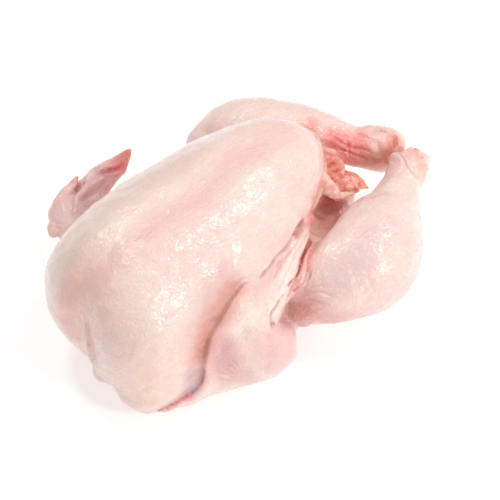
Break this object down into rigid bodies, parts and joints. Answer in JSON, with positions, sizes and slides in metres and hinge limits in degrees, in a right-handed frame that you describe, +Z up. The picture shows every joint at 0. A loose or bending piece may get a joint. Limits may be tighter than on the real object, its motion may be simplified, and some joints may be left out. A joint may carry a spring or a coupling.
{
  "type": "whole raw chicken",
  "caption": "Whole plucked and drawn raw chicken with its skin on, lying on its back with the breast up, legs drawn together and wings folded.",
  "frame": {"origin": "centre of the bird's box at its lowest level, on the surface it lies on", "axes": "+X from the neck end to the tail and hocks, +Y across the bird to the wing that stands away from the body, +Z up through the breast"},
  "size_m": [0.258, 0.2078, 0.1018],
  "materials": {
    "raw_skin": "satin"
  },
  "bodies": {
    "root": {"chicken": "raw_skin"}
  },
  "joints": []
}
